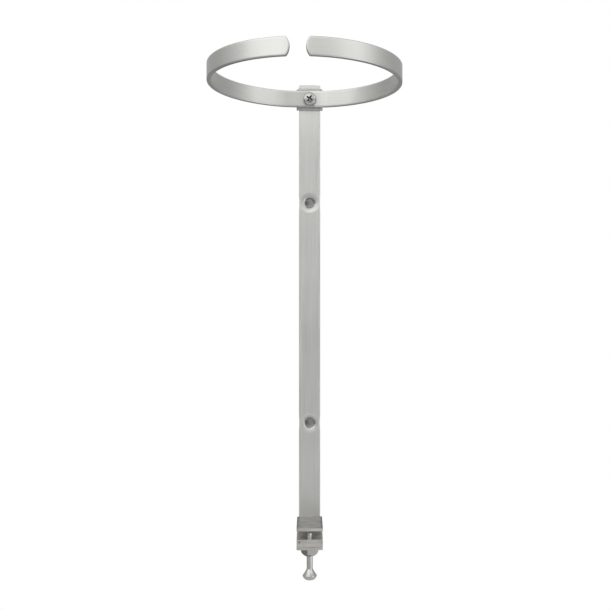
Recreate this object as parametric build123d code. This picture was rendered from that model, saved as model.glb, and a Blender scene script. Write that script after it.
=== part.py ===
from build123d import *
import math
import os

# Open hoop on a flat mast, with a slotted foot that slides on to a plate and is locked by a spring plunger.
# Units are millimetres. X is across the mast, -Y is the open side of the foot and the hoop, Z is up.
# The origin is on the seat of the foot's upper jaw, on the plunger's axis.

# Driving dimensions
hoop_radius = 83.0
hoop_thickness = 3.6
hoop_height = 15.0
hoop_gap = 13.0
hoop_gap_aside = 0.9
hoop_end_radius = 11.0
hoop_edge_break = 0.4
hoop_yaw = 2.8
hoop_above_pivot = 0.6

mast_width = 20.0
mast_thickness = 5.0
mast_length = 430.0
mast_top = 410.0
mast_edge_break = 0.4
mast_corner_radius = 1.2

dimple_from_end = 111.0
dimple_rim_radius = 9.4
dimple_core_radius = 4.6
dimple_cone_depth = 1.35
dimple_core_depth = 1.85
dimple_core_fillet = 1.1
dimple_core_taper = 0.25
dimple_edge_pull = 0.35
dimple_edge_reach = 7.5

foot_width = 23.4
foot_depth = 52.0
foot_web = 12.0
upper_jaw_thickness = 2.6
mouth_height = 7.5
lower_jaw_thickness = 9.2
plunger_from_front = 7.5
foot_edge_break = 0.35

saddle_width = 24.5
saddle_height = 19.8
saddle_flange = 2.2
saddle_above_pivot = 1.1
saddle_sheet = 2.05
saddle_outer_bend = 2.3
saddle_corner_cut = 1.2

pivot_from_mast_top = 14.8
pivot_screw_radius = 3.0
pivot_screw_length = 20.0
pivot_running_gap = 0.08
pivot_clearance_radius = 3.2
pan_head_radius = 5.8
pan_head_height = 3.4
pan_head_rim = 1.5
pan_shoulder_radius = 3.6
pan_shoulder_drop = 0.25
pan_bend = (5.28, 2.55)
thread_root_radius = 2.5
screw_tip_bevel = 0.4
front_washer_radius = 6.6
front_washer_thickness = 1.1
rear_washer_radius = 6.0
rear_washer_thickness = 1.6
nut_across_flats = 10.0
nut_height = 5.0
nut_bevel_radius = 5.9
nut_face_radius = 4.6
nut_bevel_drop = 0.8

mast_screw_spacing = 10.0
mast_screw_radius = 2.5
mast_screw_length = 14.0
mast_screw_head_radius = 4.6
mast_screw_head_rim = 0.2
mast_screw_hole_spare = 1.5

hex_across_flats = 14.0
hex_height = 6.3
hex_dome_radius = 8.9
hex_dome_rise = 1.2
hex_turn = 15
barrel_radius = 5.0
barrel_bore_radius = 4.2
jaw_bridge = 1.5
barrel_end_gap = 0.3
hex_floor = 1.8
stem_radius = 2.75
nose_radius = 2.1
nose_height = 5.2
nose_bevel = (0.5, 0.6)
collar_radius = 4.05
collar_height = 1.8
plunger_running_gap = 0.06
spring_wire_radius = 0.4
spring_turns = 4.0
spring_end_gap = 0.02

knob_top = -34.9
knob_cone_height = 5.7
knob_radius = 6.3
knob_bottom = -45.0
knob_spigot_radius = 1.5
knob_spigot_length = 5.0
knob_spigot_spare = 0.3
knob_rim_height = 0.9
knob_flare_bend = (0.42, 0.52)
knob_dome_bend = (0.78, 0.62)
knob_flat_share = 0.3

# Cross recesses: arm width, arm length, depth, and the share of width and length left at the floor
pan_recess = (1.7, 6.6, 2.3)
mast_screw_recess = (1.2, 4.6, 1.7)
recess_taper = (0.3, 0.75)
recess_lift = 0.1
pan_recess_turn = -32

cut_clearance = 0.5
cut_past = 1.0
thread_gap = 0.02

# Derived places
mast_front = foot_depth - plunger_from_front
mast_back = mast_front + mast_thickness
mast_bottom = mast_top - mast_length
foot_front = -plunger_from_front
lower_jaw_top = -mouth_height
foot_bottom = lower_jaw_top - lower_jaw_thickness
foot_middle = (upper_jaw_thickness + foot_bottom) / 2
hex_bottom = foot_bottom - hex_height
pivot_height = mast_top - pivot_from_mast_top
saddle_front = mast_front - saddle_sheet
hoop_front = saddle_front - hoop_thickness
head_seat = hoop_front - front_washer_thickness
nut_back = mast_back + rear_washer_thickness + nut_height
hoop_middle = pivot_height + hoop_above_pivot
hoop_low = hoop_middle - hoop_height / 2
saddle_low = pivot_height + saddle_above_pivot - saddle_height / 2
hoop_inner_radius = hoop_radius - hoop_thickness
hoop_centre_x = -hoop_radius * math.sin(math.radians(hoop_yaw))
seat_half_width = saddle_width / 2 - hoop_centre_x
hoop_centre_y = saddle_front - math.sqrt(hoop_radius ** 2 - seat_half_width ** 2)


def along_y(radius, y_from, y_to, x=0.0, z=0.0):
    """A round bar along Y."""
    bar = Cylinder(radius, y_to - y_from, rotation=(90, 0, 0))
    return Pos(x, (y_from + y_to) / 2, z) * bar


def along_z(radius, z_from, z_to):
    """A round bar along Z on the plunger's axis."""
    return Pos(0, 0, (z_from + z_to) / 2) * Cylinder(radius, z_to - z_from)


def block(x_size, y_from, y_to, z_from, z_to):
    """A block centred on X."""
    shape = Box(x_size, y_to - y_from, z_to - z_from)
    return Pos(0, (y_from + y_to) / 2, (z_from + z_to) / 2) * shape


def turned(points):
    """A solid of revolution about Z from its half profile, given as (radius, height) points."""
    profile = make_face(Plane.XZ * Polyline(*points, close=True))
    return revolve(profile, Axis.Z)


def cross_recess(width, arm, depth):
    """A tapered cross cutter that points along -Z from the origin."""
    arms = None
    for turn in (0, 90):
        top = Plane.XY * Rectangle(width, arm)
        bottom = Plane.XY.offset(-depth) * Rectangle(width * recess_taper[0], arm * recess_taper[1])
        blade = Rot(0, 0, turn) * loft([top, bottom])
        arms = blade if arms is None else arms + blade
    return arms


def make_hoop():
    """A flat strip bent on edge to an open circle, flattened where it seats on the saddle."""
    seat = Pos(0, saddle_front + hoop_radius) * Rectangle(4 * hoop_radius, 2 * hoop_radius)
    inner_seat = Pos(0, hoop_front + hoop_radius) * Rectangle(4 * hoop_radius, 2 * hoop_radius)
    outer = Pos(hoop_centre_x, hoop_centre_y) * Circle(hoop_radius) - seat
    inner = Pos(hoop_centre_x, hoop_centre_y) * Circle(hoop_inner_radius) - inner_seat
    ring = Pos(0, 0, hoop_low) * extrude(outer - inner, hoop_height)
    rims = ring.edges().group_by(Axis.Z)
    ring = chamfer(rims[0] + rims[-1], hoop_edge_break)
    end_sag = hoop_end_radius - math.sqrt(hoop_end_radius ** 2 - (hoop_height / 2) ** 2)
    front = hoop_centre_y - hoop_radius
    y_from = front - hoop_thickness
    y_to = front + 3 * hoop_thickness
    half_gap = hoop_gap / 2
    width = 2 * (half_gap + end_sag)
    cut = block(width, y_from, y_to, hoop_low - cut_past, hoop_low + hoop_height + cut_past)
    for side in (-1, 1):
        end = along_y(hoop_end_radius, y_from, y_to, side * (half_gap + hoop_end_radius), hoop_middle)
        cut = cut - end
    gap_angle = hoop_yaw + hoop_gap_aside
    gap_turn = Pos(hoop_centre_x, hoop_centre_y) * Rot(0, 0, -gap_angle) * Pos(0, -hoop_centre_y)
    ring = ring - gap_turn * cut
    bore = pivot_screw_radius + pivot_running_gap
    return ring - along_y(bore, hoop_front - cut_past, saddle_front + cut_past, z=pivot_height)


def make_saddle():
    """A shallow bent plate between the hoop and the mast, with short flanges over the mast's edges."""
    flange_back = mast_front + saddle_flange
    outline = RectangleRounded(saddle_width, 2 * (saddle_flange + saddle_sheet), saddle_outer_bend)
    shell = Pos(0, flange_back) * outline
    behind = Pos(0, flange_back + saddle_width) * Rectangle(2 * saddle_width, 2 * saddle_width)
    slot_width = saddle_width - 2 * saddle_sheet
    slot = Pos(0, flange_back) * Rectangle(slot_width, 2 * saddle_flange)
    saddle = Pos(0, 0, saddle_low) * extrude(shell - behind - slot, saddle_height)
    corner_side = saddle_corner_cut * math.sqrt(2)
    corner = Rot(0, 45, 0) * Box(corner_side, 4 * mast_thickness, corner_side)
    for side in (-1, 1):
        saddle = saddle - Pos(side * saddle_width / 2, mast_front, saddle_low + saddle_height) * corner
    y_from = saddle_front - cut_past
    return saddle - along_y(pivot_clearance_radius, y_from, mast_front + cut_past, z=pivot_height)


def dimple_cutter():
    """A softly dished cup with a flat floor, pressed along +Y from the mast's front."""
    depth = dimple_cone_depth + dimple_core_depth
    rim = (dimple_rim_radius, 0)
    lip = (dimple_core_radius, -dimple_cone_depth)
    wall = (dimple_core_radius - dimple_core_taper, dimple_core_fillet - depth)
    floor = (wall[0] - dimple_core_fillet, -depth)
    bend_in = dimple_core_fillet * (1 - math.sqrt(0.5))
    bend = (wall[0] - bend_in, bend_in - depth)
    dish = Spline(rim, lip, tangents=((-1, -0.1), (-1, -1)))
    corner = ThreePointArc(wall, bend, floor)
    closing = Polyline(floor, (0, -depth), (0, cut_clearance), (dimple_rim_radius, cut_clearance), rim)
    profile = make_face(Plane.XZ * (dish + Line(lip, wall) + corner + closing))
    return Rot(90, 0, 0) * revolve(profile, Axis.Z)


def make_mast():
    """A flat bar with two blind dimples, the pivot hole and two countersunk holes at its foot."""
    mast = block(mast_width, mast_front, mast_back, mast_bottom, mast_top)
    mast = fillet(mast.edges().filter_by(Axis.Y), mast_corner_radius)
    dimples = (mast_top - dimple_from_end, mast_bottom + dimple_from_end)
    pull_radius = (dimple_edge_reach ** 2 + dimple_edge_pull ** 2) / (2 * dimple_edge_pull)
    pull_centre = mast_width / 2 - dimple_edge_pull + pull_radius
    y_from = mast_front - cut_past
    y_to = mast_back + cut_past
    for height in dimples:
        for side in (-1, 1):
            mast = mast - along_y(pull_radius, y_from, y_to, side * pull_centre, height)
    faces = mast.faces().sort_by(Axis.Y)
    rims = faces[0].outer_wire().edges() + faces[-1].outer_wire().edges()
    mast = chamfer(rims, mast_edge_break)
    for height in dimples:
        mast = mast - Pos(0, mast_front, height) * dimple_cutter()
    mast = mast - along_y(pivot_clearance_radius, y_from, y_to, z=pivot_height)
    for side in (-1, 1):
        x = side * mast_screw_spacing / 2
        mast = mast - Pos(x, mast_back, foot_middle) * countersunk_shape(thread_gap, cut_clearance)
    return mast


def countersunk_shape(gap, proud):
    """A countersunk screw along -Y, its flat head level with the origin and carried on by proud."""
    cone = mast_screw_head_radius - mast_screw_radius
    points = [
        (0, proud),
        (mast_screw_head_radius + gap, proud),
        (mast_screw_head_radius + gap, -mast_screw_head_rim),
        (mast_screw_radius + gap, -mast_screw_head_rim - cone),
        (mast_screw_radius + gap, -mast_screw_length),
        (0, -mast_screw_length),
    ]
    return Rot(-90, 0, 0) * turned(points)


def make_mast_screws():
    """Two countersunk screws that hold the mast to the web of the foot."""
    screws = []
    for side in (-1, 1):
        screw = countersunk_shape(0, 0)
        recess = Rot(-90, 0, 0) * Pos(0, 0, recess_lift) * cross_recess(*mast_screw_recess)
        screws.append(Pos(side * mast_screw_spacing / 2, mast_back, foot_middle) * (screw - recess))
    return Compound(children=screws)


def make_foot():
    """A block with a plain mouth that opens to the front, drilled for the plunger and the mast screws."""
    foot = block(foot_width, foot_front, mast_front, foot_bottom, upper_jaw_thickness)
    mouth_back = mast_front - foot_web
    foot = foot - block(2 * foot_width, foot_front - cut_past, mouth_back, lower_jaw_top, 0)
    outer = foot.edges().filter_by(Axis.Y).group_by(Axis.Z)
    foot = chamfer(outer[0] + outer[-1], foot_edge_break)
    foot = foot - along_z(nose_radius + plunger_running_gap, foot_bottom, lower_jaw_top + cut_past)
    foot = foot - along_z(barrel_radius + thread_gap, foot_bottom - cut_past, lower_jaw_top - jaw_bridge)
    for side in (-1, 1):
        x = side * mast_screw_spacing / 2
        depth = mast_screw_length - mast_thickness + mast_screw_hole_spare
        radius = mast_screw_radius + thread_gap
        foot = foot - along_y(radius, mast_front - depth, mast_front + cut_past, x, foot_middle)
    return foot


def make_plunger_body():
    """A hexagon with a domed underside and a threaded barrel that screws up into the lower jaw."""
    hexagon = RegularPolygon(hex_across_flats / math.sqrt(3), 6, rotation=hex_turn)
    collar = Pos(0, 0, hex_bottom) * extrude(hexagon, hex_height)
    dome = Pos(0, 0, foot_bottom + hex_dome_rise) * Sphere(hex_dome_radius)
    collar = collar & dome
    barrel_top = lower_jaw_top - jaw_bridge - barrel_end_gap
    body = collar + along_z(barrel_radius, foot_bottom, barrel_top)
    body = body - along_z(barrel_bore_radius, hex_bottom + hex_floor, barrel_top + cut_past)
    return body - along_z(stem_radius + plunger_running_gap, hex_bottom - cut_past, barrel_top)


def make_plunger_pin():
    """The pin: a nose for the mouth, a collar that the spring pushes up, and a smooth stem."""
    collar_top = lower_jaw_top - jaw_bridge
    nose_top = lower_jaw_top + nose_height
    points = [
        (0, nose_top),
        (nose_radius - nose_bevel[0], nose_top),
        (nose_radius, nose_top - nose_bevel[1]),
        (nose_radius, collar_top),
        (collar_radius, collar_top),
        (collar_radius, collar_top - collar_height),
        (stem_radius, collar_top - collar_height),
        (stem_radius, knob_top),
        (knob_spigot_radius, knob_top),
        (knob_spigot_radius, knob_top - knob_spigot_length),
        (0, knob_top - knob_spigot_length),
    ]
    return turned(points)


def make_plunger_spring():
    """A coil spring between the collar and the floor of the hexagon, with ground flat ends."""
    low = hex_bottom + hex_floor
    high = lower_jaw_top - jaw_bridge - collar_height
    coil_radius = (stem_radius + barrel_bore_radius) / 2
    height = high - low
    path = Helix(pitch=height / spring_turns, height=height, radius=coil_radius)
    section = Plane(origin=path @ 0, z_dir=path % 0) * Circle(spring_wire_radius)
    coil = Pos(0, 0, low) * sweep(section, path=path, is_frenet=True)
    return coil & along_z(barrel_bore_radius, low + spring_end_gap, high - spring_end_gap)


def make_pull_knob():
    """A trumpet-shaped pull knob with a rounded end."""
    cone_low = knob_top - knob_cone_height
    rim_low = cone_low - knob_rim_height
    flare_width = knob_radius - stem_radius
    flare = ThreePointArc(
        (stem_radius, knob_top),
        (stem_radius + knob_flare_bend[0] * flare_width, knob_top - knob_flare_bend[1] * knob_cone_height),
        (knob_radius, cone_low),
    )
    rim = Line((knob_radius, cone_low), (knob_radius, rim_low))
    sag = rim_low - knob_bottom
    flat_radius = knob_radius * knob_flat_share
    dome_middle = (knob_radius * knob_dome_bend[0], rim_low - sag * knob_dome_bend[1])
    dome = ThreePointArc((knob_radius, rim_low), dome_middle, (flat_radius, knob_bottom))
    floor = Line((flat_radius, knob_bottom), (0, knob_bottom))
    axis_line = Line((0, knob_bottom), (0, knob_top))
    top = Line((0, knob_top), (stem_radius, knob_top))
    profile = make_face(Plane.XZ * (flare + rim + dome + floor + axis_line + top))
    knob = revolve(profile, Axis.Z)
    hole_radius = knob_spigot_radius + thread_gap
    hole_bottom = knob_top - knob_spigot_length - knob_spigot_spare
    return knob - along_z(hole_radius, hole_bottom, knob_top + cut_past)


def make_pivot_screw():
    """The pan-head pivot screw, cut to its thread's root where it stands out behind the nut."""
    shoulder = (pan_shoulder_radius, pan_head_height - pan_shoulder_drop)
    crown_radius = (pan_shoulder_radius ** 2 + pan_shoulder_drop ** 2) / (2 * pan_shoulder_drop)
    half = pan_shoulder_radius / 2
    crown = (half, pan_head_height - half ** 2 / (2 * crown_radius))
    corner = ThreePointArc((pan_head_radius, pan_head_rim), pan_bend, shoulder)
    top = ThreePointArc(shoulder, crown, (0, pan_head_height))
    bare = head_seat - nut_back
    outline = [
        (0, pan_head_height),
        (0, -pivot_screw_length),
        (thread_root_radius - screw_tip_bevel, -pivot_screw_length),
        (thread_root_radius, -pivot_screw_length + screw_tip_bevel),
        (thread_root_radius, bare),
        (pivot_screw_radius, bare),
        (pivot_screw_radius, 0),
        (pan_head_radius, 0),
        (pan_head_radius, pan_head_rim),
    ]
    profile = make_face(Plane.XZ * (corner + top + Polyline(*outline)))
    screw = revolve(profile, Axis.Z)
    recess = Rot(0, 0, pan_recess_turn) * cross_recess(*pan_recess)
    screw = screw - Pos(0, 0, pan_head_height + recess_lift) * recess
    return Pos(0, head_seat, pivot_height) * Rot(90, 0, 0) * screw


def washer_on_pivot(radius, y_from, y_to):
    """A flat washer on the pivot screw."""
    ring = along_y(radius, y_from, y_to, z=pivot_height)
    return ring - along_y(pivot_clearance_radius, y_from - cut_past, y_to + cut_past, z=pivot_height)


def make_pivot_nut():
    """The plain hexagon nut behind the mast."""
    seat = mast_back + rear_washer_thickness
    hexagon = Plane.XZ * RegularPolygon(nut_across_flats / math.sqrt(3), 6)
    nut = Pos(0, seat + nut_height, pivot_height) * extrude(hexagon, nut_height)
    shoulder = nut_height - nut_bevel_drop
    bevel = turned([
        (0, 0),
        (nut_bevel_radius, 0),
        (nut_bevel_radius, shoulder),
        (nut_face_radius, nut_height),
        (0, nut_height),
    ])
    nut = nut & (Pos(0, seat, pivot_height) * Rot(-90, 0, 0) * bevel)
    radius = pivot_screw_radius + thread_gap
    return nut - along_y(radius, seat - cut_past, nut_back + cut_past, z=pivot_height)


def make_all():
    """Every piece by its node name."""
    return {
        "hoop": make_hoop(),
        "hoop_saddle": make_saddle(),
        "pivot_screw": make_pivot_screw(),
        "front_washer": washer_on_pivot(front_washer_radius, head_seat, hoop_front),
        "rear_washer": washer_on_pivot(rear_washer_radius, mast_back, mast_back + rear_washer_thickness),
        "pivot_nut": make_pivot_nut(),
        "mast": make_mast(),
        "mast_screws": make_mast_screws(),
        "foot": make_foot(),
        "plunger_body": make_plunger_body(),
        "plunger_pin": make_plunger_pin(),
        "plunger_spring": make_plunger_spring(),
        "pull_knob": make_pull_knob(),
    }


os.makedirs("parts", exist_ok=True)
for node, shape in make_all().items():
    export_step(shape, f"parts/{node}.step")
    print(f"{node}: {shape.volume:.1f} mm3")
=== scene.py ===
import math

import bpy
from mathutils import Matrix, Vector


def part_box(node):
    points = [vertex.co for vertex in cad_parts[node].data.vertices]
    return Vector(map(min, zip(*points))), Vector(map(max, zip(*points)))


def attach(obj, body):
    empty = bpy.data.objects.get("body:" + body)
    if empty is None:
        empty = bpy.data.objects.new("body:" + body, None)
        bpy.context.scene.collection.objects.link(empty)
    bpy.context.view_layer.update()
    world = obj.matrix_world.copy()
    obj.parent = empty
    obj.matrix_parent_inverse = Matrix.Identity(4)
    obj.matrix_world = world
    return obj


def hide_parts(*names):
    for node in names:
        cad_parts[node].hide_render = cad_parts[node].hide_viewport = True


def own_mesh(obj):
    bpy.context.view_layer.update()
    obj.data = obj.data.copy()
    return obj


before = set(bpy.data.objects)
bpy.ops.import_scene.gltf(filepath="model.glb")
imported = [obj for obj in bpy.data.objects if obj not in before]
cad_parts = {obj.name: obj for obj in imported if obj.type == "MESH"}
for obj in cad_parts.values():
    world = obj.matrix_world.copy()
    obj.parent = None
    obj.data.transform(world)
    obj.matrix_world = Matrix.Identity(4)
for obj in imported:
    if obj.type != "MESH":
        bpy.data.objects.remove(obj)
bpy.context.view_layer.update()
mm = 0.001

mastLow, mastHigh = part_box("mast")
hoopLow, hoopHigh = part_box("hoop")
footLow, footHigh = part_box("foot")
washerLow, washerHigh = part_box("front_washer")
springLow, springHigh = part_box("plunger_spring")
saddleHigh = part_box("hoop_saddle")[1]
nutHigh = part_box("pivot_nut")[1]
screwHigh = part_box("pivot_screw")[1]
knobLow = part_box("pull_knob")[0]
pivot = Vector((0, (hoopLow.y + hoopHigh.y) / 2, (washerLow.z + washerHigh.z) / 2))
print("frame loaded:", len(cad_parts), "nodes")


# small helpers for node trees

def addNode(tree, kind, inputs=None, **settings):
    node = tree.nodes.new(kind)
    for name, value in settings.items():
        setattr(node, name, value)
    for key, value in (inputs or {}).items():
        if isinstance(value, bpy.types.NodeSocket):
            tree.links.new(value, node.inputs[key])
        else:
            node.inputs[key].default_value = value
    return node


def calc(tree, operation, *values):
    node = addNode(tree, "ShaderNodeMath", dict(enumerate(values)), operation=operation)
    return node.outputs[0]


def multiply(tree, value, *others):
    for other in others:
        value = calc(tree, "MULTIPLY", value, other)
    return value


def vectorCalc(tree, operation, *values):
    node = addNode(tree, "ShaderNodeVectorMath", dict(enumerate(values)), operation=operation)
    return node.outputs["Value" if operation in ("LENGTH", "DOT_PRODUCT") else "Vector"]


def splitVector(tree, vector):
    return addNode(tree, "ShaderNodeSeparateXYZ", {0: vector}).outputs


def remap(tree, value, fromLow, fromHigh, toLow=0.0, toHigh=1.0, smooth=False):
    node = addNode(tree, "ShaderNodeMapRange", dict(enumerate((value, fromLow, fromHigh, toLow, toHigh))))
    if smooth:
        node.interpolation_type = "SMOOTHSTEP"
    return node.outputs[0]


def mixColour(tree, factor, first, second, blend="MIX"):
    inputs = {0: factor, 6: first, 7: second}      # the colour sockets of a Mix node
    node = addNode(tree, "ShaderNodeMix", inputs, data_type="RGBA", blend_type=blend)
    return node.outputs[2]


def objectCoords(tree):
    return addNode(tree, "ShaderNodeTexCoord").outputs["Object"]


def newTree(name, kind, inputs, outputs):
    # a node group with its own sockets, and the sockets of its Group Input and Group Output
    tree = bpy.data.node_groups.new(name, kind)
    for label, socketType, value in inputs:
        socket = tree.interface.new_socket(label, in_out="INPUT", socket_type=socketType)
        if value is not None:
            socket.default_value = value
    for label, socketType in outputs:
        tree.interface.new_socket(label, in_out="OUTPUT", socket_type=socketType)
    return tree, tree.nodes.new("NodeGroupInput").outputs, tree.nodes.new("NodeGroupOutput").inputs


# camera and light

cameraSet = {
    "distance": 860 * mm,      # from the front of the mast
    "sideways": 40.8 * mm,
    "height": 178.9 * mm,
    "turn": 2.8,               # degrees to the right
    "lens": 53.72,
    "shiftX": -0.0784,
    "shiftY": 0.0408,
}


def makeCamera(values):
    data = bpy.data.cameras.new("mainCamera")
    data.lens = values["lens"]
    data.sensor_width = 36
    data.shift_x = values["shiftX"]
    data.shift_y = values["shiftY"]
    data.clip_start = 0.01
    turn = -math.radians(values["turn"])
    side, back = values["sideways"], -values["distance"]
    camera = bpy.data.objects.new("mainCamera", data)
    camera.location = (
        side * math.cos(turn) - back * math.sin(turn),
        mastLow.y + side * math.sin(turn) + back * math.cos(turn),
        values["height"],
    )
    camera.rotation_euler = (math.radians(90), 0, turn)
    bpy.context.scene.collection.objects.link(camera)
    bpy.context.scene.camera = camera
    return camera


studioSet = {
    "floorDrop": 320 * mm,     # the floor lies this far under the knob
    "floorSize": 2.6,
    "heights": [               # brightness of the room from straight down, -1, to straight up, 1
        (-1.0, 0.45), (-0.5, 0.82), (-0.2, 0.82), (0.0, 0.40),
        (0.2, 0.93), (0.45, 1.25), (0.75, 1.0), (1.0, 0.5),
    ],
    "sideDim": 0.13,
    "lowLeftDim": 0.5,         # the room is darkest low down on the left
    "leftReach": (-0.35, -0.9),
    "lowReach": (0.15, -0.25),
    "sideReach": (0.5, 1.0),
    "backReach": (-0.4, 0.4),
    "backDim": 0.5,
    "frontShade": 0.75,        # the dark place where the camera stands
    "frontPlace": (0.1, 0, 0),
    "frontSize": 0.36,
    "frontShape": (1, 0, 1.6),
    "tint": (1, 1, 0.985, 1),
    "lights": [                # name, size, place, power
        ("keyLight", 1.7, (-0.55, -0.75, 1.15), 3.7),
        ("lowCard", 1.2, (1.10, -0.60, -0.07), 3.2),
        ("sideCard", 0.9, (1.0, -0.65, 0.65), 0.7),
    ],
}


def areaLight(name, size, place, target, power):
    data = bpy.data.lights.new(name, "AREA")
    data.shape = "DISK"
    data.size = size
    data.energy = power
    light = bpy.data.objects.new(name, data)
    light.location = place
    light.rotation_euler = (Vector(target) - Vector(place)).to_track_quat("-Z", "Y").to_euler()
    bpy.context.scene.collection.objects.link(light)
    return light


def makeWorld(values):
    world = bpy.data.worlds.new("studio")
    bpy.context.scene.world = world
    world.use_nodes = True
    tree = world.node_tree
    tree.nodes.clear()
    direction = addNode(tree, "ShaderNodeTexCoord").outputs["Generated"]
    split = splitVector(tree, direction)
    height = addNode(tree, "ShaderNodeValToRGB", {0: remap(tree, split["Z"], -1, 1)})
    ramp = height.color_ramp
    while len(ramp.elements) < len(values["heights"]):
        ramp.elements.new(0.5)
    top = max(level for place, level in values["heights"])
    for element, (place, level) in zip(ramp.elements, values["heights"]):
        element.position = (place + 1) / 2
        element.color = (level / top, level / top, level / top, 1)
    aside = calc(tree, "ABSOLUTE", split["X"])
    side = remap(tree, aside, *values["sideReach"], 1.0, 1 - values["sideDim"])
    back = remap(tree, split["Y"], *values["backReach"], 1.0, 1 - values["backDim"])
    away = vectorCalc(tree, "SUBTRACT", direction, values["frontPlace"])
    away = vectorCalc(tree, "LENGTH", vectorCalc(tree, "MULTIPLY", away, values["frontShape"]))
    away = calc(tree, "POWER", calc(tree, "DIVIDE", away, values["frontSize"]), 2)
    spot = calc(tree, "EXPONENT", calc(tree, "MULTIPLY", away, -1))
    spot = calc(tree, "MULTIPLY", spot, calc(tree, "LESS_THAN", split["Y"], 0))
    front = calc(tree, "SUBTRACT", 1, calc(tree, "MULTIPLY", spot, values["frontShade"]))
    leftward = remap(tree, split["X"], *values["leftReach"])
    downward = remap(tree, split["Z"], *values["lowReach"])
    corner = multiply(tree, leftward, downward, values["lowLeftDim"])
    side = calc(tree, "MULTIPLY", side, calc(tree, "SUBTRACT", 1, corner))
    level = multiply(tree, side, back, front, top)
    tint = mixColour(tree, 1.0, height.outputs["Color"], values["tint"], "MULTIPLY")
    room = addNode(tree, "ShaderNodeBackground", {"Color": tint, "Strength": level})
    seen = addNode(tree, "ShaderNodeBackground", {"Color": (1, 1, 1, 1)})      # white behind the object
    isSeen = addNode(tree, "ShaderNodeLightPath").outputs["Is Camera Ray"]
    mixed = addNode(tree, "ShaderNodeMixShader", {0: isSeen, 1: room.outputs[0], 2: seen.outputs[0]})
    addNode(tree, "ShaderNodeOutputWorld", {0: mixed.outputs[0]})


def makeFloor(values):
    half = values["floorSize"] / 2
    level = knobLow.z - values["floorDrop"]
    corners = [(-half, -half, level), (half, -half, level), (half, half, level), (-half, half, level)]
    mesh = bpy.data.meshes.new("floor")
    mesh.from_pydata(corners, [], [(0, 1, 2, 3)])
    floor = bpy.data.objects.new("floor", mesh)
    bpy.context.scene.collection.objects.link(floor)
    material = bpy.data.materials.new("paleFloor")
    material.use_nodes = True
    tree = material.node_tree
    shader = tree.nodes["Principled BSDF"]
    shader.inputs["Base Color"].default_value = (0.8, 0.8, 0.8, 1)
    shader.inputs["Roughness"].default_value = 0.9
    shader.inputs["Specular IOR Level"].default_value = 0.0
    isSeen = addNode(tree, "ShaderNodeLightPath").outputs["Is Camera Ray"]
    white = addNode(tree, "ShaderNodeEmission", {"Color": (1, 1, 1, 1), "Strength": 1.0})
    mixed = addNode(tree, "ShaderNodeMixShader", {0: isSeen, 1: shader.outputs[0], 2: white.outputs[0]})
    tree.links.new(mixed.outputs[0], tree.nodes["Material Output"].inputs["Surface"])
    mesh.materials.append(material)


bpy.context.scene.view_settings.view_transform = "Standard"
makeCamera(cameraSet)
makeWorld(studioSet)
for name, size, place, power in studioSet["lights"]:
    areaLight(name, size, place, (0, 0, mastHigh.z * 0.5), power)
makeFloor(studioSet)
print("camera and studio ready")


# effects shared by the finishes

def makeGrainGroup():
    # streaks drawn out along one direction: Scale holds how many there are in a metre on each axis
    sockets = [("Vector", "NodeSocketVector", None), ("Scale", "NodeSocketVector", (100, 100, 100))]
    outputs = [("Streak", "NodeSocketFloat"), ("Fine", "NodeSocketFloat")]
    tree, given, result = newTree("metalGrain", "ShaderNodeTree", sockets, outputs)
    drawn = vectorCalc(tree, "MULTIPLY", given["Vector"], given["Scale"])
    coarse = addNode(tree, "ShaderNodeTexNoise", {"Vector": drawn, "Scale": 1.0, "Detail": 3.0})
    fine = addNode(tree, "ShaderNodeTexNoise", {"Vector": drawn, "Scale": 3.7, "Detail": 4.0})
    tree.links.new(remap(tree, coarse.outputs[0], 0.34, 0.66), result["Streak"])
    tree.links.new(remap(tree, fine.outputs[0], 0.3, 0.7), result["Fine"])
    return tree


def makeMarksGroup():
    # cloudy handling marks, and small dark pits
    sockets = [
        ("Vector", "NodeSocketVector", None),
        ("Cloud Scale", "NodeSocketFloat", 30.0),
        ("Pit Scale", "NodeSocketFloat", 600.0),
        ("Pit Size", "NodeSocketFloat", 0.1),
    ]
    outputs = [("Cloud", "NodeSocketFloat"), ("Pit", "NodeSocketFloat")]
    tree, given, result = newTree("handlingMarks", "ShaderNodeTree", sockets, outputs)
    cloud = addNode(tree, "ShaderNodeTexNoise", {
        "Vector": given["Vector"], "Scale": given["Cloud Scale"], "Detail": 5.0, "Distortion": 0.6,
    })
    cells = addNode(tree, "ShaderNodeTexVoronoi", {
        "Vector": given["Vector"], "Scale": given["Pit Scale"],
    })
    chosen = addNode(tree, "ShaderNodeSeparateColor", {0: cells.outputs["Color"]}).outputs[0]
    near = calc(tree, "LESS_THAN", cells.outputs["Distance"], given["Pit Size"])
    tree.links.new(remap(tree, cloud.outputs[0], 0.4, 0.72, smooth=True), result["Cloud"])
    tree.links.new(calc(tree, "MULTIPLY", near, calc(tree, "GREATER_THAN", chosen, 0.6)), result["Pit"])
    return tree


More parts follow.
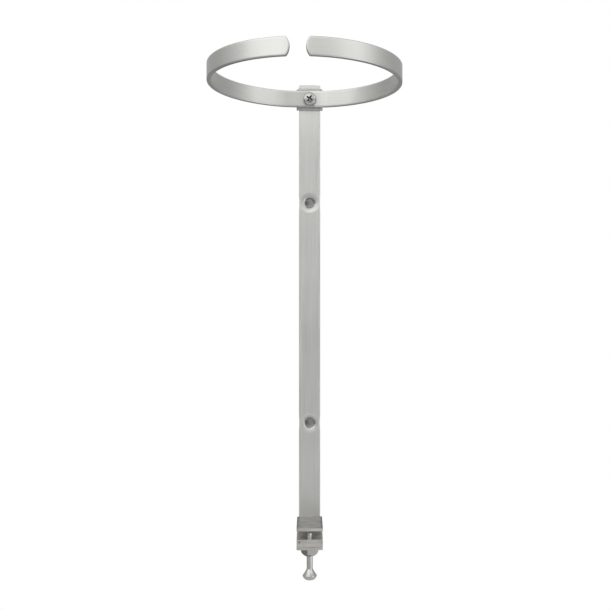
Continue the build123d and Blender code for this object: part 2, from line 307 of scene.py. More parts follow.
def makeEdgeGroup():
    # colour along the corners for bare metal and painted edge highlight, painted shade in the hollows from
    # ambient occlusion, and a normal that rounds the corners off
    sockets = [("Width", "NodeSocketFloat", 0.0004), ("Hollow Reach", "NodeSocketFloat", 0.004)]
    outputs = [("Edge", "NodeSocketFloat"), ("Hollow", "NodeSocketFloat"), ("Normal", "NodeSocketVector")]
    tree, given, result = newTree("edgeWearHighlightShade", "ShaderNodeTree", sockets, outputs)
    rounded = addNode(tree, "ShaderNodeBevel", {"Radius": given["Width"]}, samples=6)
    plain = addNode(tree, "ShaderNodeNewGeometry").outputs["Normal"]
    turn = vectorCalc(tree, "DOT_PRODUCT", rounded.outputs[0], plain)
    # painted shade: ambient occlusion darkens the colour in the hollows
    hollow = addNode(tree, "ShaderNodeAmbientOcclusion", {"Distance": given["Hollow Reach"]}, samples=8)
    hollow.only_local = True
    tree.links.new(remap(tree, turn, 0.995, 0.88), result["Edge"])
    tree.links.new(remap(tree, hollow.outputs["AO"], 0.9, 0.3), result["Hollow"])
    tree.links.new(rounded.outputs[0], result["Normal"])
    return tree


def makeTurnedGroup():
    # fine rings left by a lathe round the Z axis of Vector
    sockets = [("Vector", "NodeSocketVector", None), ("Rings", "NodeSocketFloat", 3000.0)]
    tree, given, result = newTree("turnedRings", "ShaderNodeTree", sockets, [("Ring", "NodeSocketFloat")])
    split = splitVector(tree, given["Vector"])
    squares = calc(tree, "ADD", calc(tree, "POWER", split[0], 2), calc(tree, "POWER", split[1], 2))
    reach = calc(tree, "SQRT", squares)
    place = addNode(tree, "ShaderNodeCombineXYZ", {0: reach, 1: split[2]}).outputs[0]
    noise = addNode(tree, "ShaderNodeTexNoise", {"Vector": place, "Scale": given["Rings"], "Detail": 2.0})
    tree.links.new(remap(tree, noise.outputs[0], 0.3, 0.7), result["Ring"])
    return tree


grainGroup = makeGrainGroup()
marksGroup = makeMarksGroup()
edgeGroup = makeEdgeGroup()
turnedGroup = makeTurnedGroup()


def placeGroup(tree, group, inputs):
    return addNode(tree, "ShaderNodeGroup", inputs, node_tree=group).outputs


def objectPlace(tree, centre=(0, 0, 0), turn=(0, 0, 0)):
    coords = objectCoords(tree)
    moved = vectorCalc(tree, "SUBTRACT", coords, centre)
    turned = addNode(tree, "ShaderNodeMapping", {"Vector": moved, "Rotation": turn}, vector_type="POINT")
    return turned.outputs[0]


def roundSpot(tree, centre, inner, outer, flatten=(1, 1, 1)):
    # 1 inside a round spot on a piece, falling to 0 at its outer radius
    coords = objectCoords(tree)
    away = vectorCalc(tree, "SUBTRACT", coords, centre)
    flat = vectorCalc(tree, "MULTIPLY", away, flatten)
    return remap(tree, vectorCalc(tree, "LENGTH", flat), outer, inner, smooth=True)


plainLook = {                  # what a finish has unless its own values say otherwise
    "anisotropic": 0.0,
    "centre": (0, 0, 0),
    "turn": (0, 0, 0),
    "bumpDepth": 0.03 * mm,
    "cloudScale": 40,
    "cloudAmount": 0.0,
    "cloudRough": 0.04,
    "pitScale": 700,
    "pitSize": 0.0,
    "pitAmount": 0.6,
    "pitColour": (0.06, 0.055, 0.05),
    "edgeAmount": 0.5,
    # the hollow values set the painted shade in hollows
    "hollowReach": 4 * mm,
    "hollowAmount": 0.5,
    "hollowColour": (0.1, 0.1, 0.095),
}


def metalFinish(name, own, place=None, shade=None):
    look = {**plainLook, "cloudColour": own["dark"], **own}
    material = bpy.data.materials.new(name)
    material.use_nodes = True
    tree = material.node_tree
    shader = tree.nodes["Principled BSDF"]
    shader.inputs["Metallic"].default_value = 1.0
    shader.inputs["Anisotropic"].default_value = look["anisotropic"]
    where = place(tree) if place else objectPlace(tree, look["centre"], look["turn"])
    if "rings" in look:
        ring = placeGroup(tree, turnedGroup, {"Vector": where, "Rings": look["rings"]})["Ring"]
        streak, fine = ring, ring
    else:
        grain = placeGroup(tree, grainGroup, {"Vector": where, "Scale": look["grain"]})
        streak, fine = grain["Streak"], grain["Fine"]
    marks = placeGroup(tree, marksGroup, {
        "Vector": where,
        "Cloud Scale": look["cloudScale"],
        "Pit Scale": look["pitScale"],
        "Pit Size": look["pitSize"],
    })
    edges = placeGroup(tree, edgeGroup, {"Width": look["edgeWidth"], "Hollow Reach": look["hollowReach"]})
    tone = mixColour(tree, streak, (*look["dark"], 1), (*look["light"], 1))
    masks = {"cloud": marks["Cloud"], "edge": edges["Edge"], "hollow": edges["Hollow"], "pit": marks["Pit"]}
    # the edge mask mixes in bare metal and painted highlight, the hollow mask painted shade
    for kind, mask in masks.items():
        amount = calc(tree, "MULTIPLY", mask, look[kind + "Amount"])
        tone = mixColour(tree, amount, tone, (*look[kind + "Colour"], 1))
    if shade:
        tone = shade(tree, tone)
    tree.links.new(tone, shader.inputs["Base Color"])
    rough = remap(tree, streak, 0, 1, *look["rough"])
    rough = calc(tree, "ADD", rough, calc(tree, "MULTIPLY", marks["Cloud"], look["cloudRough"]))
    tree.links.new(rough, shader.inputs["Roughness"])
    bump = addNode(tree, "ShaderNodeBump", {
        "Strength": look["bump"],
        "Distance": look["bumpDepth"],
        "Height": fine,
        "Normal": edges["Normal"],
    })
    tree.links.new(bump.outputs[0], shader.inputs["Normal"])
    return material


def paint(node, material):
    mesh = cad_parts[node].data
    mesh.materials.clear()
    mesh.materials.append(material)


# mast: satin anodised bar, faint grain along its length

mastLook = {
    "dark": (0.70, 0.70, 0.685),
    "light": (0.75, 0.75, 0.735),
    "grain": (1300, 1300, 14),
    "rough": (0.34, 0.42),
    "bump": 0.12,
    "cloudScale": 16,
    "cloudAmount": 0.25,
    "cloudColour": (0.67, 0.67, 0.66),
    "edgeWidth": 0.35 * mm,
    "edgeAmount": 0.6,
    "edgeColour": (0.86, 0.86, 0.85),
    "hollowReach": 7 * mm,
    "hollowAmount": 0.75,
    "hollowColour": (0.2, 0.2, 0.19),
}
dimpleSet = {
    "fromEnd": 111 * mm,
    "depth": 4.2 * mm,         # the painted shade stays this near the front face
    "faceOn": (1, 0, 1),       # a spot on the front face is round seen from straight ahead
    # painted shade in each dimple's bottom and dish
    "coreRadius": 3.3 * mm,
    "softRadius": 5.9 * mm,
    "coreColour": (0.36, 0.36, 0.35, 1),
    "dishInner": 5.0 * mm,
    "dishOuter": 9.0 * mm,
    "dishColour": (0.46, 0.46, 0.45, 1),
    # a painted shadow on the left of each dimple's bottom
    "shadowAside": -3.0 * mm,
    "shadowRadius": 3.4 * mm,
    "shadowShape": (1, 0, 0.8),
    "shadowColour": (0.14, 0.14, 0.135, 1),
}


def dimpleShade(tree, tone):
    # painted shade: the dish and the bottom of each pressed dimple are darkened, with a painted shadow left
    # of the bottom's middle
    coords = objectCoords(tree)
    inward = splitVector(tree, coords)[1]
    front = calc(tree, "LESS_THAN", inward, mastLow.y + dimpleSet["depth"])
    for height in (mastHigh.z - dimpleSet["fromEnd"], mastLow.z + dimpleSet["fromEnd"]):
        place = (0, mastLow.y, height)
        dish = roundSpot(tree, place, dimpleSet["dishInner"], dimpleSet["dishOuter"], dimpleSet["faceOn"])
        tone = mixColour(tree, calc(tree, "MULTIPLY", dish, front), tone, dimpleSet["dishColour"])
        spot = roundSpot(tree, place, dimpleSet["coreRadius"], dimpleSet["softRadius"], dimpleSet["faceOn"])
        spot = calc(tree, "MULTIPLY", spot, front)
        tone = mixColour(tree, spot, tone, dimpleSet["coreColour"])
        place = (dimpleSet["shadowAside"], mastLow.y, height)
        leftShadow = roundSpot(tree, place, 0, dimpleSet["shadowRadius"], dimpleSet["shadowShape"])
        tone = mixColour(tree, calc(tree, "MULTIPLY", leftShadow, spot), tone, dimpleSet["shadowColour"])
    return tone


paint("mast", metalFinish("anodisedMast", mastLook, shade=dimpleShade))


# hoop: one strip bent to an open ring, flattened where it is screwed on

hoopSet = {
    "thickness": 3.6 * mm,
    "gap": 13.0 * mm,
    "gapAside": 0.9,           # degrees that the gap stands off the pivot's opposite point
    "endRadius": 11 * mm,
    "endReach": 40 * mm,       # how far the round of an end is spread along the strip
    "edgeRound": 0.7 * mm,
    "seatBend": 1.8 * mm,
    "holeRadius": 3.08 * mm,
    "holeFaces": 48,
    "alongFaces": 300,
    "acrossFaces": 10,
    "thickFaces": 2,
}


def newShapeTree(name, sockets):
    return newTree(name, "GeometryNodeTree", sockets, [("Geometry", "NodeSocketGeometry")])


def endShapeTree(tree, geometry, given, result):
    real = addNode(tree, "GeometryNodeRealizeInstances", {"Geometry": geometry}).outputs[0]
    done = addNode(tree, "GeometryNodeSetMaterial", {"Geometry": real, "Material": given["Finish"]})
    tree.links.new(done.outputs[0], result["Geometry"])
    return tree


def makeStripTree():
    sockets = [
        ("Radius", "NodeSocketFloat", 0.08),
        ("Thickness", "NodeSocketFloat", 0.003),
        ("Height", "NodeSocketFloat", 0.015),
        ("Gap", "NodeSocketFloat", 0.012),
        ("End Radius", "NodeSocketFloat", 0.011),
        ("End Reach", "NodeSocketFloat", 0.04),
        ("Centre", "NodeSocketVector", (0, 0, 0)),
        ("Turn", "NodeSocketFloat", 0.0),
        ("Seat", "NodeSocketFloat", 0.04),
        ("Seat Bend", "NodeSocketFloat", 0.001),
        ("Hole Radius", "NodeSocketFloat", 0.003),
        ("Hole Place", "NodeSocketVector", (0, 0, 0)),
        ("Along Faces", "NodeSocketInt", 300),
        ("Across Faces", "NodeSocketInt", 10),
        ("Thick Faces", "NodeSocketInt", 2),
        ("Finish", "NodeSocketMaterial", None),
    ]
    tree, given, result = newShapeTree("bentStrip", sockets)
    radius, thickness = given["Radius"], given["Thickness"]
    halfGap = calc(tree, "MULTIPLY", given["Gap"], 0.5)
    halfGap = calc(tree, "ARCSINE", calc(tree, "DIVIDE", halfGap, radius))
    halfAngle = calc(tree, "SUBTRACT", math.pi, halfGap)
    halfLength = calc(tree, "MULTIPLY", halfAngle, radius)
    size = addNode(tree, "ShaderNodeCombineXYZ", {
        0: calc(tree, "MULTIPLY", halfLength, 2), 1: thickness, 2: given["Height"],
    }).outputs[0]
    bar = addNode(tree, "GeometryNodeMeshCube", {
        "Size": size,
        "Vertices X": calc(tree, "ADD", given["Along Faces"], 1),
        "Vertices Y": calc(tree, "ADD", given["Thick Faces"], 1),
        "Vertices Z": calc(tree, "ADD", given["Across Faces"], 1),
    }).outputs["Mesh"]
    flatPlace = addNode(tree, "GeometryNodeInputPosition").outputs[0]
    bar = addNode(tree, "GeometryNodeStoreNamedAttribute", {
        "Geometry": bar, "Name": "stripPlace", "Value": flatPlace,
    }, data_type="FLOAT_VECTOR", domain="POINT").outputs[0]
    corner = addNode(tree, "GeometryNodeInputMeshEdgeAngle").outputs["Unsigned Angle"]
    isSharp = calc(tree, "GREATER_THAN", corner, math.radians(45))
    bar = addNode(tree, "GeometryNodeStoreNamedAttribute", {
        "Geometry": bar, "Name": "bevel_weight_edge", "Value": isSharp,
    }, data_type="FLOAT", domain="EDGE").outputs[0]

    split = splitVector(tree, flatPlace)
    along, outward, up = split[0], split[1], split[2]
    endRadius = given["End Radius"]
    squared = calc(tree, "SUBTRACT", calc(tree, "POWER", endRadius, 2), calc(tree, "POWER", up, 2))
    sag = calc(tree, "SUBTRACT", endRadius, calc(tree, "SQRT", squared))
    distance = calc(tree, "ABSOLUTE", along)
    reachStart = calc(tree, "SUBTRACT", halfLength, given["End Reach"])
    weight = remap(tree, distance, reachStart, halfLength)
    shift = multiply(tree, weight, sag, calc(tree, "SIGN", along))       # an end's corners stand back
    angle = calc(tree, "DIVIDE", calc(tree, "SUBTRACT", along, shift), radius)
    angle = calc(tree, "ADD", angle, given["Turn"])
    midRadius = calc(tree, "SUBTRACT", radius, calc(tree, "MULTIPLY", thickness, 0.5))
    reach = calc(tree, "ADD", midRadius, outward)
    middle = splitVector(tree, given["Centre"])
    x = calc(tree, "ADD", calc(tree, "MULTIPLY", reach, calc(tree, "SINE", angle)), middle[0])
    y = calc(tree, "ADD", calc(tree, "MULTIPLY", reach, calc(tree, "COSINE", angle)), middle[1])
    layer = calc(tree, "SUBTRACT", given["Seat"], calc(tree, "SUBTRACT", radius, reach))
    y = calc(tree, "SMOOTH_MIN", y, layer, given["Seat Bend"])
    z = calc(tree, "ADD", up, middle[2])
    place = addNode(tree, "ShaderNodeCombineXYZ", {0: x, 1: y, 2: z}).outputs[0]
    bent = addNode(tree, "GeometryNodeSetPosition", {"Geometry": bar, "Position": place}).outputs[0]

    drill = addNode(tree, "GeometryNodeMeshCylinder", {
        "Vertices": hoopSet["holeFaces"],
        "Radius": given["Hole Radius"],
        "Depth": calc(tree, "MULTIPLY", thickness, 3),
    }).outputs["Mesh"]
    drill = addNode(tree, "GeometryNodeTransform", {
        "Geometry": drill, "Translation": given["Hole Place"], "Rotation": (math.pi / 2, 0, 0),
    }).outputs[0]
    drilled = addNode(tree, "GeometryNodeMeshBoolean", operation="DIFFERENCE")
    tree.links.new(bent, drilled.inputs["Mesh 1"])
    tree.links.new(drill, drilled.inputs["Mesh 2"])
    smooth = addNode(tree, "GeometryNodeSetShadeSmooth", {"Geometry": drilled.outputs["Mesh"]}).outputs[0]
    return endShapeTree(tree, smooth, given, result)


def setInputs(modifier, values):
    identifiers = {item.name: item.identifier for item in modifier.node_group.interface.items_tree}
    for label, value in values.items():
        modifier[identifiers[label]] = value


def growPiece(name, tree, values, finishers=()):
    # a Geometry Nodes piece, baked to a plain mesh with its modifiers gone
    piece = bpy.data.objects.new(name, bpy.data.meshes.new(name + "Start"))
    bpy.context.scene.collection.objects.link(piece)
    modifier = piece.modifiers.new(tree.name, "NODES")
    modifier.node_group = tree
    setInputs(modifier, values)
    for kind, settings in finishers:
        extra = piece.modifiers.new(kind.lower(), kind)
        for label, value in settings.items():
            setattr(extra, label, value)
    graph = bpy.context.evaluated_depsgraph_get()
    mesh = bpy.data.meshes.new_from_object(piece.evaluated_get(graph))
    piece.modifiers.clear()
    piece.data = mesh
    mesh.name = name
    return piece


hoopLook = {
    "dark": (0.585, 0.585, 0.57),
    "light": (0.635, 0.635, 0.62),
    "grain": (30, 3200, 3200),         # the strip's own length, thickness and height
    "rough": (0.27, 0.34),
    "bump": 0.1,
    "anisotropic": 0.5,
    "cloudScale": 22,
    "cloudAmount": 0.2,
    "cloudColour": (0.54, 0.54, 0.53),
    "edgeWidth": 0.4 * mm,
    "edgeAmount": 0.3,
    "edgeColour": (0.4, 0.4, 0.39),
    "hollowAmount": 0.3,
}


def stripPlace(tree):
    return addNode(tree, "ShaderNodeAttribute", attribute_name="stripPlace").outputs["Vector"]


stripLightAndRimSet = {
    # painted reflection and painted shade on the inside of the strip
    "bright": (0.69, 0.69, 0.675, 1),
    "dull": (0.51, 0.51, 0.50, 1),
    "insideFace": -1 * mm,     # nearer to the hoop's centre than this is its inside
    "start": (0.7 * mm, 1.9 * mm),     # right of the strip's middle, where the painted reflection begins
    "brightEnd": (10 * mm, 13.5 * mm),
    "dullReach": (-24 * mm, 0),
    "softened": (0.54, 0.54, 0.53, 1),
    "softStart": (13 * mm, 19 * mm),   # beyond the painted bright stretch the strip is painted a little duller again
    "softEnd": (26 * mm, 44 * mm),
    "lean": 0.35,              # how far the start leans to the right for each step down
    "rim": (0.25, 0.25, 0.245, 1),
    "rimSoft": 0.5 * mm,
    "rimSkin": 0.1 * mm,
    "sideRimLight": (0.42, 0.42, 0.41, 1),
    "sideReach": (30 * mm, 75 * mm),   # painted light: the rims are paler this near to the hoop's two sides
    "seatRimLight": (0.62, 0.62, 0.61, 1),
    "seatReach": (11 * mm, 13 * mm),   # and painted paler near the saddle's lips
}


def stripLightAndRims(tree, tone):
    # painted reflection: the inside of the strip is painted brighter right of the screw and darker just
    # left of it
    split = splitVector(tree, stripPlace(tree))
    along = calc(tree, "ADD", split[0], calc(tree, "MULTIPLY", split[2], stripLightAndRimSet["lean"]))
    begin = remap(tree, along, *stripLightAndRimSet["start"])
    inside = calc(tree, "LESS_THAN", split[1], stripLightAndRimSet["insideFace"])
    bright = remap(tree, split[0], *stripLightAndRimSet["brightEnd"], 1.0, 0.0, smooth=True)
    soft = remap(tree, split[0], *stripLightAndRimSet["softStart"], smooth=True)
    softEnd = remap(tree, split[0], *stripLightAndRimSet["softEnd"], 1.0, 0.0, smooth=True)
    dull = remap(tree, along, *stripLightAndRimSet["dullReach"])
    amounts = {
        "bright": multiply(tree, begin, bright, inside),
        "softened": multiply(tree, soft, softEnd, inside),
        "dull": multiply(tree, dull, calc(tree, "SUBTRACT", 1, begin), inside),
    }
    for colour, amount in amounts.items():
        tone = mixColour(tree, amount, tone, stripLightAndRimSet[colour])
    half = hoopSet["thickness"] / 2                # the cut rims and ends are darker, and painted paler near the hoop's two sides and the saddle's lips
    fromMid = calc(tree, "ABSOLUTE", split[1])
    rim = remap(tree, fromMid, half - stripLightAndRimSet["rimSoft"], half - stripLightAndRimSet["rimSkin"], 1.0, 0.0)
    fromMiddle = calc(tree, "ABSOLUTE", split[0])
    fromSide = calc(tree, "ABSOLUTE", calc(tree, "SUBTRACT", fromMiddle, hoopRadius * math.pi / 2))
    side = remap(tree, fromSide, *stripLightAndRimSet["sideReach"], 1.0, 0.0, smooth=True)
    seat = remap(tree, fromMiddle, *stripLightAndRimSet["seatReach"], 1.0, 0.0, smooth=True)
    rimTone = mixColour(tree, side, stripLightAndRimSet["rim"], stripLightAndRimSet["sideRimLight"])
    rimTone = mixColour(tree, seat, rimTone, stripLightAndRimSet["seatRimLight"])
    return mixColour(tree, rim, tone, rimTone)


hoopRadius = (hoopHigh.x - hoopLow.x) / 2
hoopFinish = metalFinish("brushedHoop", hoopLook, stripPlace, stripLightAndRims)
hoopCentreX = (hoopHigh.x + hoopLow.x) / 2
hoopCentreY = hoopHigh.y - math.sqrt(hoopRadius ** 2 - (saddleHigh.x - hoopCentreX) ** 2)
hoopMiddle = (hoopLow.z + hoopHigh.z) / 2
hoopPiece = growPiece("hoopStrip", makeStripTree(), {
    "Radius": hoopRadius,
    "Thickness": hoopSet["thickness"],
    "Height": hoopHigh.z - hoopLow.z,
    "Gap": hoopSet["gap"],
    "End Radius": hoopSet["endRadius"],
    "End Reach": hoopSet["endReach"],
    "Centre": (hoopCentreX, hoopCentreY, hoopMiddle),
    "Turn": math.asin(-hoopCentreX / hoopRadius) + math.radians(hoopSet["gapAside"]),
    "Seat": hoopHigh.y,
    "Seat Bend": hoopSet["seatBend"],
    "Hole Radius": hoopSet["holeRadius"],
    "Hole Place": tuple(pivot),
    "Along Faces": hoopSet["alongFaces"],
    "Across Faces": hoopSet["acrossFaces"],
    "Thick Faces": hoopSet["thickFaces"],
    "Finish": hoopFinish,
}, [
    ("BEVEL", {"limit_method": "WEIGHT", "width": hoopSet["edgeRound"], "segments": 3}),
    ("WEIGHTED_NORMAL", {"keep_sharp": True}),
])
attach(hoopPiece, "hoop")
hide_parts("hoop")
print("hoop bent:", len(hoopPiece.data.polygons), "faces")


# saddle, foot, fixings and plunger keep their CAD shapes and get their finishes here

saddleLook = {
    "dark": (0.48, 0.48, 0.47),
    "light": (0.58, 0.58, 0.565),
    "grain": (60, 400, 700),
    "rough": (0.36, 0.5),
    "bump": 0.25,
    "cloudScale": 90,
    "cloudAmount": 0.4,
    "cloudColour": (0.42, 0.42, 0.41),
    "edgeWidth": 0.35 * mm,
    "edgeAmount": 0.8,
    "edgeColour": (0.70, 0.70, 0.68),
    "hollowAmount": 0.0,
}
paint("hoop_saddle", metalFinish("saddleSheet", saddleLook))

footLook = {
    "dark": (0.40, 0.395, 0.38),
    "light": (0.64, 0.63, 0.605),
    "grain": (60, 320, 900),
    "rough": (0.32, 0.5),
    "bump": 0.35,
    "bumpDepth": 0.05 * mm,
    "cloudScale": 150,
    "cloudAmount": 0.35,
    "cloudColour": (0.38, 0.355, 0.32),
    "cloudRough": 0.1,
    "pitScale": 650,
    "pitSize": 0.24,
    "pitAmount": 0.45,
    "edgeWidth": 0.6 * mm,
    "edgeAmount": 0.85,
    "edgeColour": (0.62, 0.61, 0.59),
    "hollowReach": 9 * mm,
    "hollowAmount": 0.1,
}
footLightAndMarks = {
    "faceSkin": 0.1 * mm,      # how far under a face its own colour reaches
    # painted light: the front face is paler
    "front": (0.72, 0.71, 0.68, 1),
    "frontLightAmount": 0.35,
    # painted light inside the mouth between these heights
    "mouthLow": -7.55 * mm,
    "mouthHigh": 0.05 * mm,
    "mouth": (0.86, 0.845, 0.81, 1),
    "mouthLightAmount": 0.5,
    # painted shade, in streaks, on the top face
    "top": (0.26, 0.255, 0.24, 1),
    "topShadeScale": (70, 330, 1),
    "topShadeNoise": (0.35, 0.62),
    "topShadeAmount": (0.25, 0.75),
    "markPlace": (-9.3 * mm, footLow.y, -9.7 * mm),
    "markReach": (0.5 * mm, 1.1 * mm),
    "markShape": (1, 1, 1.15),
    "markAmount": 0.8,
    "sideReach": 2.2 * mm,     # how far the darkening reaches in from the upper jaw's sides
    "sideWander": 3 * mm,
    "sideScale": 500,
    "sideDrop": 0.6 * mm,
    "sideAmount": 0.85,
    "darkMarkColour": (0.09, 0.085, 0.08, 1),
}


def footShade(tree, tone):
    # painted light on the mouth and the front, streaked painted shade on the top, one punched mark, and
    # darkening along the upper jaw's sides
    coords = objectCoords(tree)
    split = splitVector(tree, coords)
    skin = footLightAndMarks["faceSkin"]
    deep = calc(tree, "GREATER_THAN", split[1], footLow.y + skin)
    above = calc(tree, "GREATER_THAN", split[2], footLightAndMarks["mouthLow"])
    below = calc(tree, "LESS_THAN", split[2], footLightAndMarks["mouthHigh"])
    inner = calc(tree, "LESS_THAN", calc(tree, "ABSOLUTE", split[0]), footHigh.x - skin)
    # painted light in the mouth
    mouth = multiply(tree, deep, inner, above, below, footLightAndMarks["mouthLightAmount"])
    tone = mixColour(tree, mouth, tone, footLightAndMarks["mouth"])
    # painted light on the front face
    front = calc(tree, "MULTIPLY", calc(tree, "SUBTRACT", 1, deep), footLightAndMarks["frontLightAmount"])
    tone = mixColour(tree, front, tone, footLightAndMarks["front"])
    # streaked painted shade on the top face
    top = calc(tree, "GREATER_THAN", split[2], footHigh.z - skin)
    drawn = vectorCalc(tree, "MULTIPLY", coords, footLightAndMarks["topShadeScale"])
    noise = addNode(tree, "ShaderNodeTexNoise", {"Vector": drawn, "Scale": 1.0, "Detail": 3.0})
    streakedTopShade = remap(tree, noise.outputs[0], *footLightAndMarks["topShadeNoise"], *footLightAndMarks["topShadeAmount"], smooth=True)
    tone = mixColour(tree, calc(tree, "MULTIPLY", top, streakedTopShade), tone, footLightAndMarks["top"])
    spot = roundSpot(tree, footLightAndMarks["markPlace"], *footLightAndMarks["markReach"], footLightAndMarks["markShape"])
    tone = mixColour(tree, calc(tree, "MULTIPLY", spot, footLightAndMarks["markAmount"]), tone, footLightAndMarks["darkMarkColour"])
    # darker along the upper jaw's sides, wandering with noise
    noise = addNode(tree, "ShaderNodeTexNoise", {"Vector": coords, "Scale": footLightAndMarks["sideScale"]})
    wander = calc(tree, "SUBTRACT", noise.outputs[0], 0.5)
    wander = calc(tree, "MULTIPLY", wander, footLightAndMarks["sideWander"])
    reach = calc(tree, "ADD", calc(tree, "ABSOLUTE", split[0]), wander)
    side = remap(tree, reach, footHigh.x - footLightAndMarks["sideReach"], footHigh.x, smooth=True)
    upper = remap(tree, split[2], footHigh.z - footLightAndMarks["sideDrop"], footHigh.z - skin)
    sideDarkening = multiply(tree, side, upper, footLightAndMarks["sideAmount"])
    return mixColour(tree, sideDarkening, tone, footLightAndMarks["darkMarkColour"])


paint("foot", metalFinish("milledFoot", footLook, shade=footShade))

platedLook = {
    "dark": (0.46, 0.46, 0.445),
    "light": (0.56, 0.56, 0.545),
    "rings": 2600,
    "rough": (0.12, 0.2),
    "bump": 0.12,
    "cloudScale": 200,
    "cloudAmount": 0.3,
    "cloudColour": (0.34, 0.34, 0.33),
    "edgeWidth": 0.25 * mm,
    "edgeAmount": 0.6,
    "edgeColour": (0.85, 0.85, 0.83),
    # painted shade, nearly black, in the recesses of the fixings
    "hollowReach": 2.5 * mm,
    "hollowAmount": 0.9,
    "hollowColour": (0.05, 0.05, 0.045),
}
alongPivot = {"centre": tuple(pivot), "turn": (math.pi / 2, 0, 0)}
plated = metalFinish("platedFixing", {**platedLook, **alongPivot})
for node in ("pivot_screw", "front_washer", "rear_washer", "pivot_nut", "mast_screws"):
    paint(node, plated)

turnedLook = {
    "dark": (0.46, 0.46, 0.445),
    "light": (0.60, 0.60, 0.585),
    "rings": 2200,
    "rough": (0.12, 0.22),
    "bump": 0.2,
    "cloudScale": 180,
    "cloudAmount": 0.25,
    "cloudColour": (0.36, 0.35, 0.335),
    "edgeWidth": 0.3 * mm,
    "edgeAmount": 0.5,
    "edgeColour": (0.80, 0.80, 0.78),
    "hollowReach": 3 * mm,
    "hollowAmount": 0.6,
}
turned = metalFinish("turnedPlunger", turnedLook)
for node in ("plunger_pin", "pull_knob"):
    paint(node, turned)

hexLook = {
    **turnedLook,
    "dark": (0.50, 0.50, 0.485),
    "light": (0.56, 0.56, 0.545),
    "rough": (0.12, 0.16),
    "bump": 0.02,
    "edgeWidth": 0.25 * mm,
    "cloudAmount": 0.05,
}
facetSet = {
    "edge": (-1.6 * mm, -2 * mm),      # the front facet left of here gets painted shade
    "heights": (-22.6 * mm, -19.5 * mm),
    "amounts": (1.0, 0.38),            # of the painted shade at those heights
    "colour": (0.06, 0.055, 0.05, 1),
}


# painted shade on one front facet of the hexagon, strongest low down
def facetShade(tree, tone):
    split = splitVector(tree, objectCoords(tree))
    left = remap(tree, split[0], *facetSet["edge"])
    front = calc(tree, "LESS_THAN", split[1], 0)
    amount = remap(tree, split[2], *facetSet["heights"], *facetSet["amounts"])
    return mixColour(tree, multiply(tree, left, front, amount), tone, facetSet["colour"])


paint("plunger_body", metalFinish("platedHexagon", hexLook, shade=facetShade))

print("finishes made:", len(bpy.data.materials))


# thread on the bare end of the pivot's screw

threadSet = {
    "rootRadius": 2.5 * mm,
    "crestRadius": 2.95 * mm,
    "pitch": 0.8 * mm,
    "rootWidth": 0.7 * mm,
    "crestWidth": 0.12 * mm,
    "sunk": 0.1 * mm,          # how far the ridge's foot lies under the screw's surface
    "tipGap": 0.3 * mm,
    "runOut": 0.12,            # share of the ridge that fades out at each end
    "thinnest": 0.15,          # and what is left of its section there
    "pointsPerTurn": 48,
}


helixSockets = [
    ("Radius", "NodeSocketFloat", 0.003),
    ("Length", "NodeSocketFloat", 0.01),
    ("Turns", "NodeSocketFloat", 4.0),
    ("Points", "NodeSocketInt", 48),
    ("Start", "NodeSocketVector", (0, 0, 0)),
    ("Finish", "NodeSocketMaterial", None),
]


def addHelix(tree, given):
    helix = addNode(tree, "GeometryNodeCurveSpiral", {
        "Resolution": given["Points"],
        "Rotations": given["Turns"],
        "Start Radius": given["Radius"],
        "End Radius": given["Radius"],
        "Height": given["Length"],
        "Reverse": True,       # right-handed
    }).outputs[0]
    return addNode(tree, "GeometryNodeSetCurveNormal", {"Curve": helix}, mode="Z_UP").outputs[0]


def makeThreadTree():
    sockets = helixSockets + [
        ("Ridge Height", "NodeSocketFloat", 0.0005),
        ("Root Width", "NodeSocketFloat", 0.0007),
        ("Crest Width", "NodeSocketFloat", 0.0001),
        ("Run Out", "NodeSocketFloat", 0.1),
    ]
    tree, given, result = newShapeTree("screwThread", sockets)
    along = addNode(tree, "GeometryNodeSplineParameter").outputs["Factor"]
    fromEnd = calc(tree, "MINIMUM", along, calc(tree, "SUBTRACT", 1, along))
    fade = remap(tree, fromEnd, 0, given["Run Out"], threadSet["thinnest"], 1.0, smooth=True)
    ridge = addNode(tree, "GeometryNodeCurvePrimitiveQuadrilateral", {
        "Height": given["Ridge Height"],
        "Bottom Width": given["Root Width"],
        "Top Width": given["Crest Width"],
        "Offset": 0.0,
    }, mode="TRAPEZOID").outputs[0]
    half = calc(tree, "MULTIPLY", given["Ridge Height"], 0.5)
    outward = addNode(tree, "ShaderNodeCombineXYZ", {0: half}).outputs[0]
    ridge = addNode(tree, "GeometryNodeTransform", {
        "Geometry": ridge, "Translation": outward, "Rotation": (0, 0, -math.pi / 2),
    }).outputs[0]
    wound = addNode(tree, "GeometryNodeCurveToMesh", {
        "Curve": addHelix(tree, given), "Profile Curve": ridge, "Scale": fade, "Fill Caps": True,
    })
    placed = addNode(tree, "GeometryNodeTransform", {
        "Geometry": wound.outputs[0], "Translation": given["Start"], "Rotation": (-math.pi / 2, 0, 0),
    }).outputs[0]
    return endShapeTree(tree, placed, given, result)


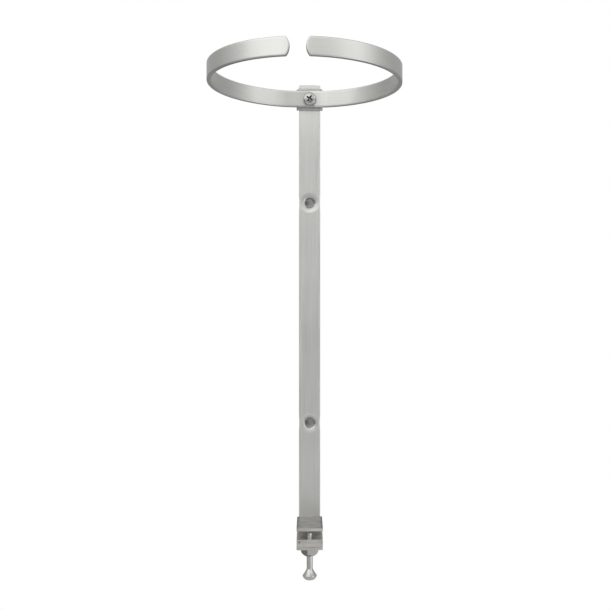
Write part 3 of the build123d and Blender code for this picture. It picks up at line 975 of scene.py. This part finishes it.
threadStart = Vector((pivot.x, nutHigh.y + threadSet["sunk"], pivot.z))
threadLength = screwHigh.y - threadSet["tipGap"] - threadStart.y
threadPiece = growPiece("screwThread", makeThreadTree(), {
    "Radius": threadSet["rootRadius"] - threadSet["sunk"],
    "Ridge Height": threadSet["crestRadius"] - threadSet["rootRadius"] + threadSet["sunk"],
    "Root Width": threadSet["rootWidth"],
    "Crest Width": threadSet["crestWidth"],
    "Start": tuple(threadStart),
    "Length": threadLength,
    "Turns": threadLength / threadSet["pitch"],
    "Run Out": threadSet["runOut"],
    "Points": threadSet["pointsPerTurn"],
    "Finish": plated,
})
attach(threadPiece, "stand")
print("thread cut:", len(threadPiece.data.polygons), "faces")


# spring inside the plunger

springLook = {
    "dark": (0.34, 0.34, 0.33),
    "light": (0.5, 0.5, 0.48),
    "grain": (900, 900, 900),
    "rough": (0.3, 0.4),
    "bump": 0.1,
    "edgeWidth": 0.05 * mm,
    "edgeAmount": 0.0,
    "edgeColour": (0.6, 0.6, 0.6),
}
springSet = {
    "wireRadius": 0.4 * mm,
    "wireFaces": 12,
    "turns": 4.0,
    "pointsPerTurn": 40,
    "travel": 5.5 * mm,
}


def makeSpringTree():
    sockets = helixSockets + [
        ("Wire Radius", "NodeSocketFloat", 0.0004),
        ("Wire Faces", "NodeSocketInt", 12),
    ]
    tree, given, result = newShapeTree("coilSpring", sockets)
    wire = addNode(tree, "GeometryNodeCurvePrimitiveCircle", {
        "Resolution": given["Wire Faces"], "Radius": given["Wire Radius"],
    }, mode="RADIUS").outputs["Curve"]
    coil = addNode(tree, "GeometryNodeCurveToMesh", {
        "Curve": addHelix(tree, given), "Profile Curve": wire, "Fill Caps": True,
    }).outputs[0]
    placed = addNode(tree, "GeometryNodeTransform", {"Geometry": coil, "Translation": given["Start"]})
    smooth = addNode(tree, "GeometryNodeSetShadeSmooth", {"Geometry": placed.outputs[0]}).outputs[0]
    return endShapeTree(tree, smooth, given, result)


springHeight = springHigh.z - springLow.z
springPiece = growPiece("coilSpring", makeSpringTree(), {
    "Radius": springHigh.x - springSet["wireRadius"],
    "Length": springHeight - 2 * springSet["wireRadius"],
    "Turns": springSet["turns"],
    "Points": springSet["pointsPerTurn"],
    "Start": (0, 0, springLow.z + springSet["wireRadius"]),
    "Wire Radius": springSet["wireRadius"],
    "Wire Faces": springSet["wireFaces"],
    "Finish": metalFinish("springWire", springLook),
})
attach(springPiece, "stand")
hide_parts("plunger_spring")
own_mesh(springPiece)
print("spring wound:", len(springPiece.data.polygons), "faces")
